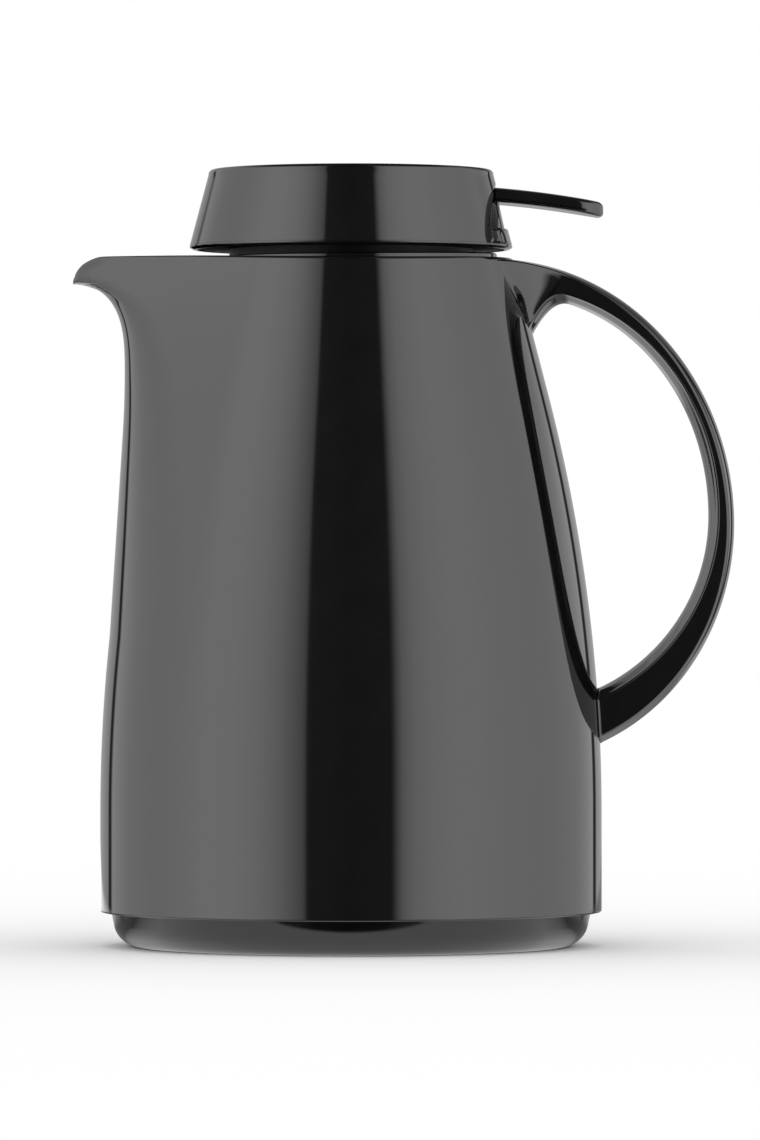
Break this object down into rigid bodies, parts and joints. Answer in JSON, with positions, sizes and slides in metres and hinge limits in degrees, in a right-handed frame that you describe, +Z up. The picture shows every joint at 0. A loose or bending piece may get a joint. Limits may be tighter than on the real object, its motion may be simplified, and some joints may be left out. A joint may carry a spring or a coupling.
{
  "type": "thermal carafe",
  "caption": "Glossy black glass-lined thermal carafe with pouring lip, loop handle and a screw-in lid whose sprung thumb lever lifts a pouring valve.",
  "frame": {"origin": "centre of the standing face on the jacket axis", "axes": "+Z up along the jacket axis, +X towards the handle, the pouring lip towards -X"},
  "size_m": [0.1986, 0.1504, 0.2328],
  "materials": {
    "jacket_black": "polished",
    "handle_black": "polished",
    "base_black": "satin",
    "lid_black": "polished",
    "lever_black": "polished",
    "stopper_black": "satin",
    "inner_plastic": "moulded",
    "silvered_glass": "silvered",
    "soft_seal": "silicone",
    "dark_rubber": "matt",
    "felt_pad": "pressed fibre",
    "bright_steel": "bright"
  },
  "bodies": {
    "carafe": {"jacket": "jacket_black", "handle": "handle_black", "handle_screw": "bright_steel", "base_cup": "base_black", "base_cushion": "dark_rubber", "flask_outer_bottle": "silvered_glass", "flask_inner_bottle": "silvered_glass", "flask_spacer_pads": "felt_pad", "neck_ring": "dark_rubber"},
    "gasket": {"stopper_gasket": "soft_seal"},
    "lid": {"stopper": "stopper_black", "lid_carrier": "inner_plastic", "lid_cap": "lid_black", "lever_pin": "bright_steel", "valve_spring": "bright_steel"},
    "lever": {"lever": "lever_black"},
    "valve": {"valve_stem": "inner_plastic", "lift_collar": "inner_plastic", "valve_disc": "inner_plastic", "valve_seal": "soft_seal"}
  },
  "joints": [
    {"name": "lid_rise", "type": "slide", "parent": "carafe", "child": "gasket", "axis": [0, 0, 1], "range_m": [0, 0.0401]},
    {"name": "lid_turn", "type": "hinge", "parent": "gasket", "child": "lid", "pos_m": [0, 0, 0.185], "axis": [0, 0, 1], "range_deg": [0, 360]},
    {"name": "lever_press", "type": "hinge", "parent": "lid", "child": "lever", "pos_m": [0.033, 0, 0.2186], "axis": [0, 1, 0], "range_deg": [0, 12], "stiffness_Nm_per_rad": 0.4, "springref_deg": -17.19},
    {"name": "valve_lift", "type": "slide", "parent": "lid", "child": "valve", "axis": [0, 0, 1], "range_m": [0, 0.007], "deforming": ["valve_spring"]}
  ],
  "couplings": [
    {"joint": "lid_rise", "follows": "lid_turn", "m_per_rad": 0.0063662},
    {"joint": "valve_lift", "follows": "lever_press", "m_per_rad": 0.033}
  ]
}
